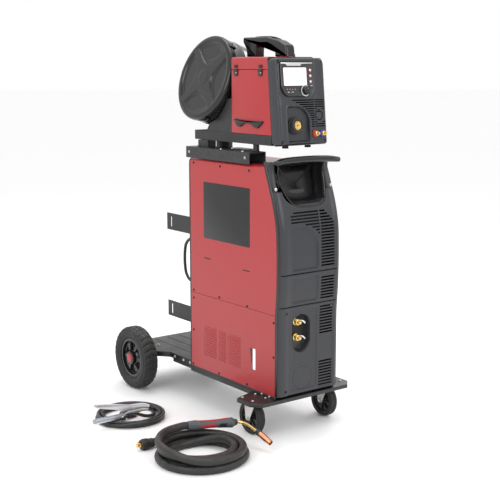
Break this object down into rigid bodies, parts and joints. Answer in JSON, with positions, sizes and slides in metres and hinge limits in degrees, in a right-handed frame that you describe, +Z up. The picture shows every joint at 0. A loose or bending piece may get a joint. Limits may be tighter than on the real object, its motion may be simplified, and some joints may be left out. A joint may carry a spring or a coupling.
{
  "type": "mig welder on cart",
  "caption": "MIG welding power source in a tall red cabinet on a wheeled cart, with a swivelling wire feeder on top, a gas bottle shelf behind, and a torch and earth lead beside it.",
  "frame": {"origin": "bottom centre of the welder's bounding box, on the floor, without the torch and earth lead", "axes": "+Z up, front panel facing -Y, the feeder's side door and the drum's lid on the -X side"},
  "size_m": [0.8835, 1.1405, 1.4451],
  "materials": {
    "red_paint": "satin powder coat",
    "black_paint": "satin powder coat",
    "grey_plastic": "fine texture",
    "black_plastic": "semi-gloss",
    "rubber": "matt",
    "tread": "matt",
    "zinc": "zinc plated",
    "steel": "machined",
    "brass": "turned",
    "tank": "blow moulded",
    "glass": "clear window over a printed panel",
    "wire": "coppered steel wire on a basket spool"
  },
  "bodies": {
    "cart_and_power_source": {"base_tray": "black_paint", "bottle_tray": "black_paint", "axle": "steel", "inner_frame": "black_paint", "rear_panel": "black_plastic", "upper_cover": "red_paint", "lower_panel_left": "red_paint", "lower_panel_right": "red_paint", "front_upper": "grey_plastic", "front_lower": "grey_plastic", "front_handle": "black_plastic", "coolant_coupling_upper": "brass", "coolant_coupling_lower": "brass", "coolant_tank": "tank", "inverter_block": "steel", "bottle_bracket_upper": "black_paint", "bottle_bracket_lower": "black_paint", "rear_cable": "rubber", "feeder_support": "black_paint", "torch_handle": "black_plastic", "torch_neck": "brass", "torch_plug": "black_plastic", "hose_coil": "rubber", "hose_tail": "rubber", "clamp_lower": "zinc", "lead_coil": "rubber", "lead_tail": "rubber", "lead_plug": "black_plastic"},
    "cooling_fan": {"fan_rotor": "black_plastic"},
    "switch_knob": {"main_switch": "black_plastic"},
    "caster_left": {"caster_fork_left": "zinc"},
    "caster_right": {"caster_fork_right": "zinc"},
    "caster_left_wheel": {"caster_wheel_left": "tread"},
    "caster_right_wheel": {"caster_wheel_right": "tread"},
    "rear_wheel_left": {"rear_tyre_left": "tread", "rear_rim_left": "black_plastic"},
    "rear_wheel_right": {"rear_tyre_right": "tread", "rear_rim_right": "black_plastic"},
    "wire_feeder": {"feeder_base": "black_paint", "feeder_body": "black_plastic", "feeder_hood": "red_paint", "feeder_fascia": "grey_plastic", "feeder_display": "glass", "euro_socket": "black_plastic", "coupling_red": "brass", "coupling_blue": "brass", "carry_handle": "black_plastic", "spool_tub": "black_plastic"},
    "side_door": {"feeder_door": "red_paint"},
    "door_latch": {"door_pull": "black_plastic"},
    "drum_lid": {"spool_lid": "black_plastic"},
    "spool": {"wire_spool": "wire"},
    "knob": {"encoder_knob": "black_plastic"},
    "button_top": {"button_1": "zinc"},
    "button_middle": {"button_2": "zinc"},
    "button_bottom": {"button_3": "zinc"},
    "driven_roll": {"drive_roll": "steel"},
    "upper_roll": {"pressure_roll": "steel"},
    "trigger": {"torch_trigger": "black_plastic"},
    "clamp_jaw": {"clamp_upper": "zinc"}
  },
  "joints": [
    {"name": "fan_spin", "type": "hinge", "parent": "cart_and_power_source", "child": "cooling_fan", "pos_m": [0, 0.0335, 0.8], "axis": [0, 1, 0], "continuous": true},
    {"name": "main_switch_turn", "type": "hinge", "parent": "cart_and_power_source", "child": "switch_knob", "pos_m": [0.08, 0.0708, 0.9], "axis": [0, 1, 0], "range_deg": [0, 90]},
    {"name": "caster_swivel_left", "type": "hinge", "parent": "cart_and_power_source", "child": "caster_left", "pos_m": [-0.174, -0.4005, 0.13], "axis": [0, 0, 1], "continuous": true},
    {"name": "caster_swivel_right", "type": "hinge", "parent": "cart_and_power_source", "child": "caster_right", "pos_m": [0.174, -0.4005, 0.13], "axis": [0, 0, 1], "continuous": true},
    {"name": "caster_roll_left", "type": "hinge", "parent": "caster_left", "child": "caster_left_wheel", "pos_m": [-0.174, -0.3805, 0.0625], "axis": [1, 0, 0], "continuous": true},
    {"name": "caster_roll_right", "type": "hinge", "parent": "caster_right", "child": "caster_right_wheel", "pos_m": [0.174, -0.3805, 0.0625], "axis": [1, 0, 0], "continuous": true},
    {"name": "rear_wheel_roll_left", "type": "hinge", "parent": "cart_and_power_source", "child": "rear_wheel_left", "pos_m": [-0.217, 0.3695, 0.13], "axis": [1, 0, 0], "continuous": true},
    {"name": "rear_wheel_roll_right", "type": "hinge", "parent": "cart_and_power_source", "child": "rear_wheel_right", "pos_m": [0.217, 0.3695, 0.13], "axis": [1, 0, 0], "continuous": true},
    {"name": "feeder_swivel", "type": "hinge", "parent": "cart_and_power_source", "child": "wire_feeder", "pos_m": [0, 0.0265, 1.053], "axis": [0, 0, 1], "range_deg": [-45, 45]},
    {"name": "side_door_hinge", "type": "hinge", "parent": "wire_feeder", "child": "side_door", "pos_m": [-0.1105, -0.2685, 1.3165], "axis": [0, 1, 0], "range_deg": [0, 100]},
    {"name": "door_latch_turn", "type": "hinge", "parent": "side_door", "child": "door_latch", "pos_m": [-0.1083, -0.275, 1.141], "axis": [0, 1, 0], "range_deg": [0, 25], "stiffness_Nm_per_rad": 0.05, "springref_deg": -11.46},
    {"name": "drum_lid_hinge", "type": "hinge", "parent": "wire_feeder", "child": "drum_lid", "pos_m": [-0.09083, 0.179, 1.28432], "axis": [-0.3007, 0, -0.9537], "range_deg": [0, 100]},
    {"name": "spool_spin", "type": "hinge", "parent": "wire_feeder", "child": "spool", "pos_m": [-0.112, 0.0125, 1.291], "axis": [-0.9537, 0, 0.3007], "continuous": true},
    {"name": "encoder_knob_turn", "type": "hinge", "parent": "wire_feeder", "child": "knob", "pos_m": [0.014, -0.4435, 1.2464], "axis": [0, -0.9954, 0.0958], "continuous": true},
    {"name": "button_press_top", "type": "slide", "parent": "wire_feeder", "child": "button_top", "axis": [0, 0.9954, -0.0958], "range_m": [0, 0.001], "stiffness_N_per_m": 400, "springref_m": -0.0005},
    {"name": "button_press_middle", "type": "slide", "parent": "wire_feeder", "child": "button_middle", "axis": [0, 0.9954, -0.0958], "range_m": [0, 0.001], "stiffness_N_per_m": 400, "springref_m": -0.0005},
    {"name": "button_press_bottom", "type": "slide", "parent": "wire_feeder", "child": "button_bottom", "axis": [0, 0.9954, -0.0958], "range_m": [0, 0.001], "stiffness_N_per_m": 400, "springref_m": -0.0005},
    {"name": "drive_roll_spin", "type": "hinge", "parent": "wire_feeder", "child": "driven_roll", "pos_m": [-0.0195, -0.2765, 1.16], "axis": [1, 0, 0], "continuous": true},
    {"name": "pressure_roll_spin", "type": "hinge", "parent": "wire_feeder", "child": "upper_roll", "pos_m": [-0.0195, -0.2765, 1.193], "axis": [1, 0, 0], "continuous": true},
    {"name": "torch_trigger_press", "type": "slide", "parent": "cart_and_power_source", "child": "trigger", "axis": [0.4122, 0.9111, 0], "range_m": [0, 0.003], "stiffness_N_per_m": 500, "springref_m": -0.001},
    {"name": "clamp_jaw_open", "type": "hinge", "parent": "cart_and_power_source", "child": "clamp_jaw", "pos_m": [-0.49, -0.0195, 0.055], "axis": [0, -1, 0], "range_deg": [0, 15], "stiffness_Nm_per_rad": 3, "springref_deg": -28.65}
  ],
  "couplings": [
    {"joint": "pressure_roll_spin", "follows": "drive_roll_spin", "ratio": -1}
  ]
}
